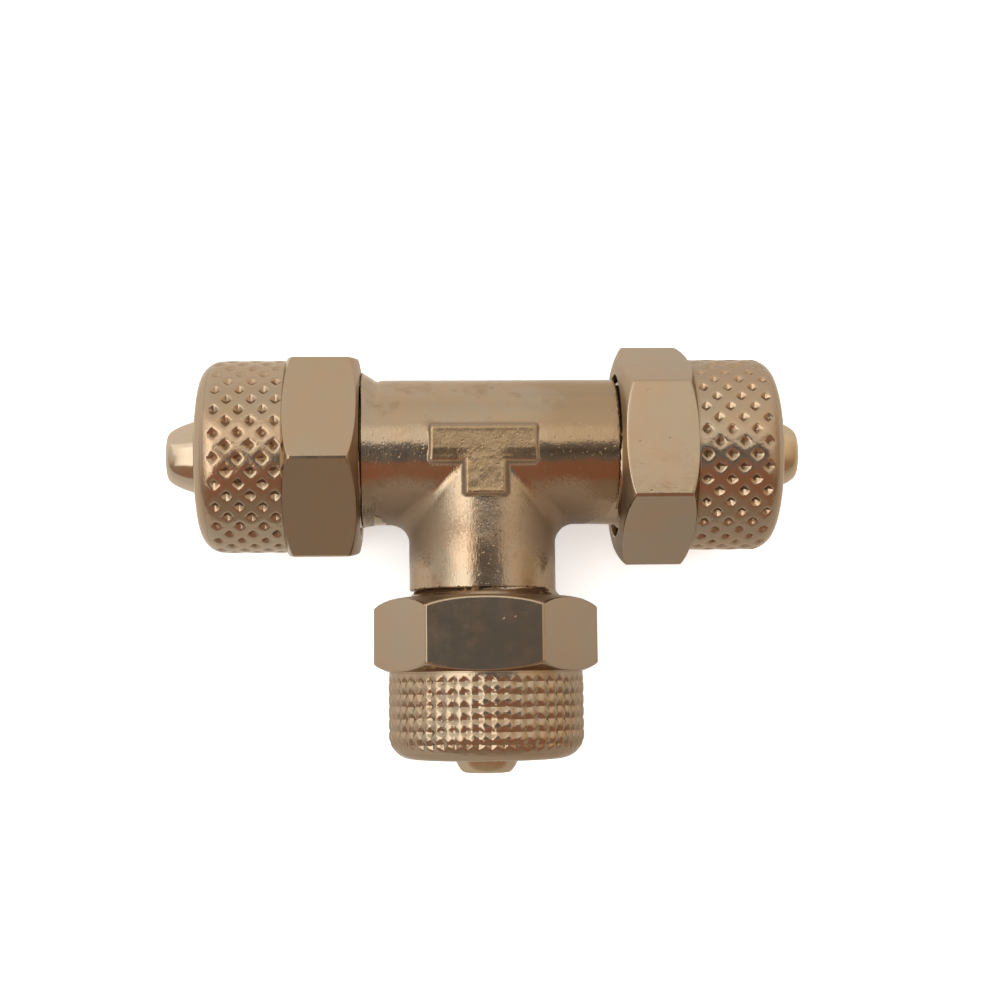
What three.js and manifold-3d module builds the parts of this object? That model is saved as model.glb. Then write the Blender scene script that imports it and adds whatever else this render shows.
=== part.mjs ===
// Equal tee union for small plastic tube: one forged brass body with three
// threaded ends and tapered spigots, and three knurled hexagon clamp nuts.
// Millimetres, +Z up. The tee lies flat: the run is along X, the branch points
// along -Y, and the raised T-shaped pad faces +Z. The origin is the centre of
// the footprint, on the surface that the fitting lies on.
import * as THREE from 'three';
import { mergeVertices } from 'three/addons/utils/BufferGeometryUtils.js';
import Module from 'manifold-3d';

// ---- driving dimensions -------------------------------------------------
// where the arm axes cross
const CROSS_Y = 6.2833;
const CROSS_Z = 6.8258;

// forged body
const ARM_R = 4.5;           // outside radius of each forged arm
const RUN_SHIFT_Y = 0.22;    // forged skin of the run against its machined axis
const BRANCH_SHIFT_X = -0.16;
const FILLET_R = 1.15;       // inside corners between run and branch
const ARM_END = { left: 7.55, right: 8.05, branch: 8.4 };   // forged skin stops here
// flare from the neck up to the thread: start, end, radius at its end
const FLARE = { left: [6.65, 7.5, 4.95], right: [8.05, 8.6, 4.85], branch: [8.4, 8.95, 4.85] };

// machined ends, measured from the crossing
const NECK_R = 4.36;
const THREAD_CREST_R = 4.85;
const THREAD_ROOT_R = 4.42;
const THREAD_PITCH = 1.0;
const THREAD_END = 12.75;
const SPIGOT_NECK_R = 2.0;
const SPIGOT_CREST_R = 2.35;
const SPIGOT_CREST_AT = 17.45;
const TIP_AT = 19.45;
const TIP_FLAT_R = 1.3;
const TIP_CONE_R = 1.72;
const BORE_R = 1.0;

// raised pad at the middle of the body
const PAD_TOP = 4.74;
const PAD_BEVEL = 0.16;
const PAD_BAR = { x0: -3.36, x1: 3.06, y0: -0.87, y1: 1.27 };
const PAD_STEM = { x0: -1.28, x1: 1.16, y0: -2.89 };

// clamp nut, measured from its inner end
const NUT_LENGTH = 9.75;
const HEX_AF = 12.0;
const HEX_EDGE_R = 0.25;
const KNURL_R = 5.92;
const HEX_END = 4.5;         // hexagon's outer chamfer meets the knurled barrel
const RIM_R = 1.3;           // rounded outer edge
const NUT_CREST_R = 5.02;    // inside thread
const NUT_ROOT_R = 5.36;
const NUT_THREAD_DEPTH = 4.95;
const NUT_MOUTH_R = 3.1;     // takes the tube
const NUT_CONE_END = 8.15;
// chamfer of the hexagon: distance from the nut's end plane at each radius
const HEX_CHAMFER = [[5.4, 0], [5.92, 0.11], [6.35, 0.28], [6.65, 0.44], [6.95, 0.66]];

// inner end of each nut, from the crossing, and how far it is turned
const NUT_AT = { left: 7.6, right: 8.1, branch: 8.85 };
const NUT_TURN = { left: 30 - 7.8, right: -2.4, branch: 2.6 };   // degrees

const SEG = 40;              // facets round a forged arm
const BARREL_SEG = 48;       // facets round a nut
const THREAD_SEG = 24;       // facets round a thread, spigot or bore

// ---- solid helpers ------------------------------------------------------
const wasm = await Module();
wasm.setup();

function solid(geometry) {
  let g = geometry.clone();
  g.deleteAttribute('normal');
  g.deleteAttribute('uv');
  g = mergeVertices(g, 1e-5);
  const m = new wasm.Mesh({
    numProp: 3,
    vertProperties: new Float32Array(g.attributes.position.array),
    triVerts: new Uint32Array(g.index.array),
  });
  return new wasm.Manifold(m);
}

function geometryOf(manifold) {
  const mesh = manifold.getMesh();
  const pos = new Float32Array(mesh.numVert * 3);
  for (let i = 0; i < mesh.numVert; i++) {
    for (let k = 0; k < 3; k++) pos[3 * i + k] = mesh.vertProperties[i * mesh.numProp + k];
  }
  const g = new THREE.BufferGeometry();
  g.setAttribute('position', new THREE.BufferAttribute(pos, 3));
  g.setIndex(new THREE.BufferAttribute(new Uint32Array(mesh.triVerts), 1));
  g.computeVertexNormals();
  return g;
}

// closed solid of revolution about +X from [s, r] points, in order of s,
// starting and ending on the axis
function turned(points, segments = SEG) {
  const pts = points.map(([s, r]) => new THREE.Vector2(r, s));
  const g = new THREE.LatheGeometry(pts, segments);
  g.rotateZ(-Math.PI / 2);          // lathe axis +Y becomes +X
  return orient(g);
}

// make a closed geometry's faces point outwards
function orient(g) {
  const p = g.attributes.position, ix = g.index.array;
  let v = 0;
  const a = new THREE.Vector3(), b = new THREE.Vector3(), c = new THREE.Vector3();
  for (let i = 0; i < ix.length; i += 3) {
    a.fromBufferAttribute(p, ix[i]);
    b.fromBufferAttribute(p, ix[i + 1]);
    c.fromBufferAttribute(p, ix[i + 2]);
    v += a.dot(b.cross(c));
  }
  if (v < 0) {
    const out = new Uint32Array(ix.length);
    for (let i = 0; i < ix.length; i += 3) {
      out[i] = ix[i];
      out[i + 1] = ix[i + 2];
      out[i + 2] = ix[i + 1];
    }
    g.setIndex(new THREE.BufferAttribute(out, 1));
  }
  return g;
}

// an end of the tee is drawn along +X; these turn it to its own direction
const DIRECTION = {
  left: (g) => g.rotateZ(Math.PI),
  right: (g) => g,
  branch: (g) => g.rotateZ(-Math.PI / 2),
};

// ---- body ---------------------------------------------------------------
// annular ridges of the thread, between two stations
function ridges(from, to, crest, root, pitch) {
  const pts = [];
  const n = Math.floor((to - from) / pitch);
  const start = to - n * pitch;
  for (let i = 0; i < n; i++) {
    const s = start + i * pitch;
    pts.push([s + 0.05 * pitch, crest], [s + 0.5 * pitch, root]);
  }
  return pts;
}

function machinedEnd(where) {
  const [a, f, flareR] = FLARE[where];
  const profile = [
    [3.2, 0], [3.2, NECK_R - 0.2], [a - 0.4, NECK_R - 0.06], [a, NECK_R], [f, flareR], [f + 0.1, THREAD_CREST_R],
    ...ridges(f + 0.1, THREAD_END - 0.35, THREAD_CREST_R, THREAD_ROOT_R, THREAD_PITCH),
    [THREAD_END - 0.35, THREAD_CREST_R], [THREAD_END, THREAD_ROOT_R - 0.1],
    // shoulder inside the nut, then the spigot
    [THREAD_END, 3.3], [THREAD_END + 0.9, SPIGOT_NECK_R + 0.25], [THREAD_END + 1.4, SPIGOT_NECK_R],
    [15.6, SPIGOT_NECK_R], [SPIGOT_CREST_AT - 0.5, SPIGOT_CREST_R - 0.03], [SPIGOT_CREST_AT, SPIGOT_CREST_R],
    [TIP_AT - 1.0, 2.02], [TIP_AT - 0.36, TIP_CONE_R], [TIP_AT - 0.13, TIP_CONE_R - 0.16],
    [TIP_AT, TIP_FLAT_R], [TIP_AT, 0],
  ];
  return solid(DIRECTION[where](turned(profile, THREAD_SEG)));
}

function forgedArm(length, where) {
  const g = turned([[0, 0], [0, ARM_R], [length - 0.12, ARM_R], [length, ARM_R - 0.12], [length, 0]]);
  DIRECTION[where](g);
  if (where === 'branch') g.translate(BRANCH_SHIFT_X, 0, 0);
  else g.translate(0, RUN_SHIFT_Y, 0);
  return solid(g);
}

// swept fillet in the inside corner at sign * X: plan sections stacked in z
function cornerFillet(sign) {
  const zs = [-3.9, -3.3, -2.5, -1.6, -0.7, 0.2, 1.1, 2.0, 2.9, 3.6, 3.9];
  const STEPS = 6;
  const rows = zs.map((z) => {
    const half = Math.sqrt(ARM_R * ARM_R - z * z);
    const cx = half + sign * BRANCH_SHIFT_X;
    const cy = RUN_SHIFT_Y - half;
    const r = FILLET_R;
    const sink = 0.35;
    const row = [[cx - sink, cy + sink], [cx - sink, cy - r]];
    for (let i = 0; i <= STEPS; i++) {
      const t = (i / STEPS) * Math.PI / 2;
      row.push([cx + r - r * Math.cos(t), cy - r + r * Math.sin(t)]);
    }
    row.push([cx + r, cy + sink]);
    return row.map(([x, y]) => new THREE.Vector3(sign * x, y, z));
  });
  const n = rows[0].length;
  const pos = [];
  rows.forEach((row) => row.forEach((p) => pos.push(p.x, p.y, p.z)));
  const idx = [];
  for (let k = 0; k + 1 < rows.length; k++) {
    for (let i = 0; i < n; i++) {
      const j = (i + 1) % n;
      const a = k * n + i, b = k * n + j, c = (k + 1) * n + j, d = (k + 1) * n + i;
      idx.push(a, b, c, a, c, d);
    }
  }
  const plan = rows[0].map((p) => new THREE.Vector2(p.x, p.y));
  const area = THREE.ShapeUtils.area(plan);
  const contour = plan.slice();
  const map = [...Array(n).keys()];
  if (area < 0) { contour.reverse(); map.reverse(); }
  for (const [a, b, c] of THREE.ShapeUtils.triangulateShape(contour, [])) {
    const [p, q, r] = [map[a], map[b], map[c]];
    const last = (rows.length - 1) * n;
    idx.push(r, q, p);
    idx.push(last + p, last + q, last + r);
  }
  // side walls follow the plan's winding
  if (area < 0) {
    for (let i = 0; i < (rows.length - 1) * n * 6; i += 3) {
      const t = idx[i + 1];
      idx[i + 1] = idx[i + 2];
      idx[i + 2] = t;
    }
  }
  const g = new THREE.BufferGeometry();
  g.setAttribute('position', new THREE.Float32BufferAttribute(pos, 3));
  g.setIndex(idx);
  return solid(orient(g));
}

function raisedPad() {
  const b = PAD_BAR, s = PAD_STEM, q = PAD_BEVEL;
  const shape = new THREE.Shape([
    [b.x0 + q, b.y1 - q], [b.x0 + q, b.y0 + q], [s.x0 + q, b.y0 + q], [s.x0 + q, s.y0 + q],
    [s.x1 - q, s.y0 + q], [s.x1 - q, b.y0 + q], [b.x1 - q, b.y0 + q], [b.x1 - q, b.y1 - q],
  ].map(([x, y]) => new THREE.Vector2(x, y)));
  const g = new THREE.ExtrudeGeometry(shape, {
    depth: 1.6, bevelEnabled: true, bevelThickness: q, bevelSize: q, bevelSegments: 2, curveSegments: 3,
  });
  g.translate(0, 0, PAD_TOP - 1.6 - q);
  return solid(g);
}

function teeBody() {
  let body = forgedArm(ARM_END.left, 'left')
    .add(forgedArm(ARM_END.right, 'right'))
    .add(forgedArm(ARM_END.branch, 'branch'))
    .add(cornerFillet(1))
    .add(cornerFillet(-1))
    .add(raisedPad());
  for (const where of ['left', 'right', 'branch']) body = body.add(machinedEnd(where));
  const runBore = new THREE.CylinderGeometry(BORE_R, BORE_R, 2 * TIP_AT + 2, 20);
  runBore.rotateZ(Math.PI / 2);
  const branchBore = new THREE.CylinderGeometry(BORE_R, BORE_R, TIP_AT + 1, 20);
  branchBore.translate(0, -(TIP_AT + 1) / 2, 0);
  return geometryOf(body.subtract(solid(runBore)).subtract(solid(branchBore)));
}

// ---- clamp nut ----------------------------------------------------------
function hexPrism(length) {
  const apex = HEX_AF / Math.sqrt(3);
  const cut = HEX_EDGE_R * Math.tan(Math.PI / 6);
  const crest = apex - HEX_EDGE_R * (2 / Math.sqrt(3) - 1);
  const pts = [];
  for (let i = 0; i < 6; i++) {
    const t = i * Math.PI / 3;
    const corner = new THREE.Vector2(apex * Math.cos(t), apex * Math.sin(t));
    const back = new THREE.Vector2(apex * Math.cos(t - Math.PI / 3), apex * Math.sin(t - Math.PI / 3)).sub(corner).normalize();
    const on = new THREE.Vector2(apex * Math.cos(t + Math.PI / 3), apex * Math.sin(t + Math.PI / 3)).sub(corner).normalize();
    pts.push(corner.clone().addScaledVector(back, cut));
    pts.push(new THREE.Vector2(crest * Math.cos(t), crest * Math.sin(t)));
    pts.push(corner.clone().addScaledVector(on, cut));
  }
  const g = new THREE.ExtrudeGeometry(new THREE.Shape(pts), { depth: length, bevelEnabled: false });
  g.rotateY(Math.PI / 2);           // extrusion along +X, corner 0 towards -Z
  return solid(g);
}

function nut() {
  const inner = HEX_CHAMFER.map(([r, d]) => [d, r]);
  const outer = HEX_CHAMFER.slice(1).reverse().map(([r, d]) => [HEX_END + 0.11 - d, r]);
  const limit = turned([[0, 0], ...inner, ...outer, [HEX_END + 0.05, KNURL_R - 0.4], [HEX_END + 0.05, 0]], BARREL_SEG);
  const hexagon = hexPrism(HEX_END + 1).intersect(solid(limit));
  const rim = [];
  for (let i = 0; i <= 4; i++) {
    const t = (i / 4) * Math.PI / 2;
    rim.push([NUT_LENGTH - RIM_R + RIM_R * Math.sin(t), KNURL_R - RIM_R + RIM_R * Math.cos(t)]);
  }
  const barrel = solid(turned([[2, 0], [2, KNURL_R - 0.6], [HEX_END - 0.35, KNURL_R - 0.6], [HEX_END - 0.1, KNURL_R], ...rim, [NUT_LENGTH, 0]], BARREL_SEG));
  const bore = [
    [-1, 0], [-1, NUT_CREST_R + 0.1], [0, NUT_CREST_R + 0.1], [0.15, NUT_CREST_R],
    ...ridges(0.3, NUT_THREAD_DEPTH, NUT_CREST_R, NUT_ROOT_R, THREAD_PITCH),
    [NUT_THREAD_DEPTH, NUT_CREST_R - 0.02], [NUT_CONE_END, NUT_MOUTH_R], [NUT_LENGTH - 0.3, NUT_MOUTH_R],
    [NUT_LENGTH, NUT_MOUTH_R + 0.3], [NUT_LENGTH + 1, NUT_MOUTH_R + 0.3], [NUT_LENGTH + 1, 0],
  ];
  return hexagon.add(barrel).subtract(solid(turned(bore, THREAD_SEG)));
}

// ---- scene --------------------------------------------------------------
const forgedBrass = { color: 0xb09a7c, roughness: 0.38, metalness: 1.0 };
const nutBrass = { color: 0xb8a184, roughness: 0.3, metalness: 1.0 };

const tee = new THREE.Group();
tee.position.set(0, CROSS_Y, CROSS_Z);

const body = new THREE.Mesh(teeBody(), new THREE.MeshStandardMaterial(forgedBrass));
body.name = 'tee_body';
tee.add(body);

const nutShape = nut();
for (const where of ['left', 'right', 'branch']) {
  const g = geometryOf(nutShape);
  // a flat faces +Z at zero turn; positive turn is about the outward axis
  g.rotateX(Math.PI / 6 + THREE.MathUtils.degToRad(NUT_TURN[where]));
  g.translate(NUT_AT[where], 0, 0);
  DIRECTION[where](g);
  const mesh = new THREE.Mesh(g, new THREE.MeshStandardMaterial(nutBrass));
  mesh.name = `${where}_nut`;
  tee.add(mesh);
}

export default tee;
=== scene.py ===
"""Looks for the brass tee union: forged body, three knurled hexagon clamp nuts.

Lengths in the tables below are millimetres measured from the point where the
three arm axes cross; scene units are metres in the CAD frame.
"""
import math

import bpy
import numpy as np
from mathutils import Matrix, Vector


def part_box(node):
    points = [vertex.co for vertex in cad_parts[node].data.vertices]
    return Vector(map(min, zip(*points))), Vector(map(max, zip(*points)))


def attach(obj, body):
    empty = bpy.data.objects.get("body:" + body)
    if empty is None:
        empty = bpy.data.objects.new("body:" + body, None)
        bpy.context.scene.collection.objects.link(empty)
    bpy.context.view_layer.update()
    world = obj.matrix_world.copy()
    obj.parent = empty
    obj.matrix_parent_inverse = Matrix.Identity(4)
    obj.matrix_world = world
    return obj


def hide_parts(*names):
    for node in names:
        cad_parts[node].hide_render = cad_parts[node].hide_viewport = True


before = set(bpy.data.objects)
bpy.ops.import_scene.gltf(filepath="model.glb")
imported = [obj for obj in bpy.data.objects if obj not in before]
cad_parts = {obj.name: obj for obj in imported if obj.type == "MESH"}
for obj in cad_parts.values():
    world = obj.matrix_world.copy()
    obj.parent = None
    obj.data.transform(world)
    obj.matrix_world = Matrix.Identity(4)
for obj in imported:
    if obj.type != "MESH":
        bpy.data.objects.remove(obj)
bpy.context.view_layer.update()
MM = 0.001

# where the arm axes cross, from the frame: mid-length in X, and the run's tips
_run_lo, _run_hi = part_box("tee_body")
CROSS = np.array([0.0, 6.2833, 6.8258])

# ---------------------------------------------------------------------------
# dimensions (mm)
# ---------------------------------------------------------------------------
ARM_R = 4.5
RUN_SHIFT_Y = 0.22
BRANCH_SHIFT_X = -0.16
FILLET_R = 1.15
ARM_END = {"left": 7.55, "right": 8.05, "branch": 8.4}
FLARE = 0.55
NECK_R = 4.36
CREST_R, ROOT_R, PITCH, THREAD_END = 4.85, 4.42, 1.0, 12.75
BORE_R = 1.0
PAD_TOP = 4.74
PAD_BAR = (-3.36, 3.06, -0.87, 1.27)
PAD_STEM = (-1.28, 1.16, -2.89, 0.5)

HEX_APOTHEM = 6.0
HEX_CREST = 6.875
KNURL_R = 5.92
HEX_END = 4.5
NUT_LENGTH = 9.75
NUT_AT = {"left": 7.6, "right": 8.1, "branch": 8.85}
NUT_TURN = {"left": 30 - 7.8, "right": -2.4, "branch": 2.6}
RIM_R = {"left": 1.4, "right": 1.3, "branch": 1.4}
# knurl: first column from the nut's inner end, spacing along, phase round, pit half size in steps
KNURL = {
    "left": {"at": 4.89, "step": 0.712, "phase": 5.93, "pit": 5.0, "stagger": True, "depth": 0.27, "crown": 0.015, "wander": 0.35, "norm": 1.3},
    "right": {"at": 4.96, "step": 0.734, "phase": 0.07, "pit": 4.8, "stagger": True, "depth": 0.27, "crown": 0.018, "wander": 0.35, "norm": 1.3},
    "branch": {"at": 5.106, "step": 0.731, "phase": -0.8, "pit": 4.95, "stagger": False, "depth": 0.150, "crown": 0.046, "wander": 0.9, "norm": 1.0},
}
KNURL_ROWS, KNURL_COLUMNS, SUB = 50, 6, 10

TURN = {  # local (s, y, z) with s outward -> crossing frame
    "left": np.array([[-1.0, 0, 0], [0, -1, 0], [0, 0, 1]]),
    "right": np.eye(3),
    "branch": np.array([[0.0, 1, 0], [-1, 0, 0], [0, 0, 1]]),
}


# ---------------------------------------------------------------------------
# mesh helpers
# ---------------------------------------------------------------------------
class Build:
    """Vertices, triangles and per-vertex values, gathered shell by shell."""

    def __init__(self):
        self.v, self.t, self.n, self.zone, self.lathe = [], [], [], [], []
        self.count = 0

    def add(self, verts, zone, lathe, normals=None):
        start = self.count
        self.v.append(np.asarray(verts, float))
        k = len(verts)
        self.zone.append(np.full(k, zone, float) if np.isscalar(zone) else np.asarray(zone, float))
        self.lathe.append(np.asarray(lathe, float))
        self.n.append(np.zeros((k, 3)) if normals is None else np.asarray(normals, float))
        self.count += k
        return start

    def tris(self, t):
        self.t.append(np.asarray(t, np.int64))

    def object(self, name, place, sharp=None):
        v = np.concatenate(self.v)
        t = np.concatenate(self.t)
        n = np.concatenate(self.n)
        v = (v + place) * MM
        # drop slivers with two equal corners
        good = (t[:, 0] != t[:, 1]) & (t[:, 1] != t[:, 2]) & (t[:, 2] != t[:, 0])
        t = t[good]
        me = bpy.data.meshes.new(name)
        me.vertices.add(len(v))
        me.vertices.foreach_set("co", v.astype(np.float32).ravel())
        me.loops.add(len(t) * 3)
        me.loops.foreach_set("vertex_index", t.astype(np.int32).ravel())
        me.polygons.add(len(t))
        me.polygons.foreach_set("loop_start", np.arange(0, 3 * len(t), 3, dtype=np.int32))
        me.polygons.foreach_set("use_smooth", np.ones(len(t), bool))
        me.update(calc_edges=True)
        a = me.attributes.new("zone", "FLOAT", "POINT")
        a.data.foreach_set("value", np.concatenate(self.zone).astype(np.float32))
        a = me.attributes.new("lathe", "FLOAT_VECTOR", "POINT")
        a.data.foreach_set("vector", np.concatenate(self.lathe).astype(np.float32).ravel())
        if sharp is not None:
            me.set_sharp_from_angle(angle=math.radians(sharp))
        given = np.linalg.norm(n, axis=1) > 0.5
        if given.any():
            own = np.zeros(len(v) * 3, np.float32)
            me.vertices.foreach_get("normal", own)
            own = own.reshape(-1, 3)
            own[given] = n[given]
            me.normals_split_custom_set_from_vertices(own.tolist())
        me.validate()
        o = bpy.data.objects.new(name, me)
        bpy.context.scene.collection.objects.link(o)
        return o


def signed_volume(v, t):
    a, b, c = v[t[:, 0]], v[t[:, 1]], v[t[:, 2]]
    return float(np.einsum("ij,ij->i", a, np.cross(b, c)).sum()) / 6


class Rings:
    """A closed shell made of rings about +X: each ring is angles, radii and stations."""

    def __init__(self):
        self.rings = []

    def add(self, theta, r, s, zone=0.0):
        theta = np.asarray(theta, float)
        r = np.broadcast_to(np.asarray(r, float), theta.shape)
        s = np.broadcast_to(np.asarray(s, float), theta.shape)
        z = np.broadcast_to(np.asarray(zone, float), theta.shape)
        self.rings.append((theta, r, s, z))

    def shell(self, close="loop"):
        verts, zones, lathes, starts, tris = [], [], [], [], []
        total = 0
        for theta, r, s, z in self.rings:
            verts.append(np.stack([s, -r * np.sin(theta), r * np.cos(theta)], 1))
            zones.append(z)
            lathes.append(np.stack([s, r * theta, r], 1))
            starts.append(total)
            total += len(theta)
        verts = np.concatenate(verts)
        n = len(self.rings)
        pairs = [(i, i + 1) for i in range(n - 1)]
        if close == "loop":
            pairs.append((n - 1, 0))
        for a, b in pairs:
            ta, tb = self.rings[a][0], self.rings[b][0]
            if len(ta) == len(tb):
                tris.append(self._band(verts, starts[a], starts[b], len(ta)))
            else:
                tris.append(self._zip(ta, tb, starts[a], starts[b]))
        tris = np.concatenate(tris)
        zones, lathes = np.concatenate(zones), np.concatenate(lathes)
        if close == "ends":
            # a point on the axis closes each end
            extra = []
            for ring, first in ((0, True), (n - 1, False)):
                theta, r, s, z = self.rings[ring]
                k = len(verts) + len(extra)
                extra.append([float(s.mean()), 0, 0])
                i = np.arange(len(theta))
                j = (i + 1) % len(theta)
                st = starts[ring]
                fan = np.stack([st + j, st + i, np.full(len(theta), k)], 1)
                if not first:
                    fan = fan[:, ::-1]
                tris = np.concatenate([tris, fan])
                zones = np.append(zones, z[0])
                lathes = np.concatenate([lathes, [[float(s.mean()), 0, 0]]])
            verts = np.concatenate([verts, np.array(extra)])
        if signed_volume(verts, tris) < 0:
            tris = tris[:, ::-1]
        return verts, tris, zones, lathes

    @staticmethod
    def _band(verts, a, b, n):
        i = np.arange(n)
        j = (i + 1) % n
        p, q, r, s = a + i, a + j, b + j, b + i
        # the shorter diagonal, except where both are alike: then the one that follows a crease
        d1 = np.linalg.norm(verts[p] - verts[r], axis=1)
        d2 = np.linalg.norm(verts[q] - verts[s], axis=1)
        first = d1 <= d2
        out = np.empty((n, 2, 3), np.int64)
        out[first, 0] = np.stack([p, q, r], 1)[first]
        out[first, 1] = np.stack([p, r, s], 1)[first]
        out[~first, 0] = np.stack([p, q, s], 1)[~first]
        out[~first, 1] = np.stack([q, r, s], 1)[~first]
        return out.reshape(-1, 3)

    @staticmethod
    def _zip(ta, tb, a, b):
        """Joins two rings with different numbers of points."""
        two = 2 * math.pi
        oa, ob = np.argsort(ta % two), np.argsort(tb % two)
        fa, fb = (ta % two)[oa], (tb % two)[ob]
        na, nb = len(ta), len(tb)
        i = j = 0
        tris = []
        while i < na or j < nb:
            ca, cb = a + oa[i % na], b + ob[j % nb]
            next_a = fa[i + 1] if i + 1 < na else fa[(i + 1) % na] + two
            next_b = fb[j + 1] if j + 1 < nb else fb[(j + 1) % nb] + two
            if j >= nb or (i < na and next_a <= next_b):
                tris.append([ca, a + oa[(i + 1) % na], cb])
                i += 1
            else:
                tris.append([ca, b + ob[(j + 1) % nb], cb])
                j += 1
        return np.array(tris)


class Noise:
    """Smooth value noise on a periodic lattice, the same at each run."""

    def __init__(self, seed):
        self.g = np.random.RandomState(seed).rand(32, 32, 32) * 2 - 1

    def __call__(self, x, y, z, scale):
        p = [np.asarray(c, float) / scale + 100.0 for c in (x, y, z)]
        i = [np.floor(c).astype(int) for c in p]
        f = [c - k for c, k in zip(p, i)]
        f = [c * c * (3 - 2 * c) for c in f]
        out = 0.0
        for a in (0, 1):
            for b in (0, 1):
                for c in (0, 1):
                    w = (f[0] if a else 1 - f[0]) * (f[1] if b else 1 - f[1]) * (f[2] if c else 1 - f[2])
                    out = out + w * self.g[(i[0] + a) % 32, (i[1] + b) % 32, (i[2] + c) % 32]
        return out


def curve_through(xs, ys):
    """Monotone cubic through the points."""
    xs, ys = np.array(xs, float), np.array(ys, float)
    h, d = np.diff(xs), np.diff(ys) / np.diff(xs)
    m = np.concatenate([[d[0]], np.where(d[:-1] * d[1:] > 0, 2 * d[:-1] * d[1:] / (d[:-1] + d[1:] + 1e-12), 0), [d[-1]]])

    def at(x):
        x = np.clip(x, xs[0], xs[-1])
        k = np.clip(np.searchsorted(xs, x, side="right") - 1, 0, len(h) - 1)
        t = (x - xs[k]) / h[k]
        return ((1 + 2 * t) * (1 - t) ** 2 * ys[k] + t * (1 - t) ** 2 * h[k] * m[k]
                + t * t * (3 - 2 * t) * ys[k + 1] + t * t * (t - 1) * h[k] * m[k + 1])
    return at


chamfer = curve_through([5.4, 5.92, 6.35, 6.65, 6.95], [0, 0.11, 0.28, 0.44, 0.66])


# ---------------------------------------------------------------------------
# clamp nut
# ---------------------------------------------------------------------------
def soft_min(a, b, k):
    h = np.clip(0.5 + 0.5 * (b - a) / k, 0, 1)
    return b * (1 - h) + a * h - k * h * (1 - h)


def hex_columns(turn):
    """Angles of the hexagon's columns, and its outside radius at each."""
    corner = np.array([-1.3, -1.0, -0.86, -0.768, -0.66, -0.45, -0.15, 0.15, 0.45, 0.66, 0.768, 0.86, 1.0, 1.3])
    flat = np.linspace(-27.6, 27.6, 17)
    alpha, theta = [], []
    for k in range(6):
        alpha += list(flat) + [30 + c if c < 0 else c - 30 for c in corner]
        theta += list(60 * k + flat) + list(60 * k + 30 + corner)
    alpha = np.radians(np.array(alpha))
    r = soft_min(HEX_APOTHEM / np.cos(alpha), HEX_CREST / np.cos(math.pi / 6 - np.abs(alpha)), 0.012)
    return np.radians(np.array(theta) + turn), r


def knurl_depth(where, s_steps, c_steps):
    """Depth below the barrel, as a share of the full depth, at grid steps along (from the first column) and round."""
    k = KNURL[where]
    j0 = np.round(c_steps / SUB)
    near = np.full(np.broadcast(s_steps, c_steps).shape, 9.0)
    for di in (-1, 0, 1):
        for dj in (-1, 0, 1):
            i = np.round(s_steps / SUB) + di
            j = j0 + dj
            on = (i >= 0) & (i < KNURL_COLUMNS)
            if k["stagger"]:
                on = on & (np.mod(i + j, 2) == 1)
            far = (np.abs(s_steps - SUB * i) ** k["norm"] + np.abs(c_steps - SUB * j) ** k["norm"]) ** (1 / k["norm"]) / SUB
            near = np.minimum(near, np.where(on, far, 9.0))
    # separate pits with slightly soft edges; the metal between them stands a touch proud
    edge = k["pit"] / SUB
    t = 1 - near / edge
    pit = 0.5 * (t + np.sqrt(t * t + 0.006)) - 0.05 * np.exp(-((t - 1) / 0.22) ** 2)
    widest = 0.9
    crown = np.clip((near - edge) / (widest - edge), 0, 1)
    inside = np.clip((s_steps + 6) / 6, 0, 1) * np.clip(((KNURL_COLUMNS - 1) * SUB + 6 - s_steps) / 6, 0, 1)
    lift = np.where(near < 5, 1 - (1 - crown) ** 2, 0) * k["crown"] / k["depth"] * inside
    return np.where(near < 5, np.maximum(pit, 0), 0) - lift


def barrel_radius(where, s):
    """Outside of the barrel before knurling, with its rounded outer edge."""
    rim = RIM_R[where]
    x = max(0.0, s - (NUT_LENGTH - rim))
    return KNURL_R - rim + math.sqrt(max(rim * rim - x * x, 0.0))


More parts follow.
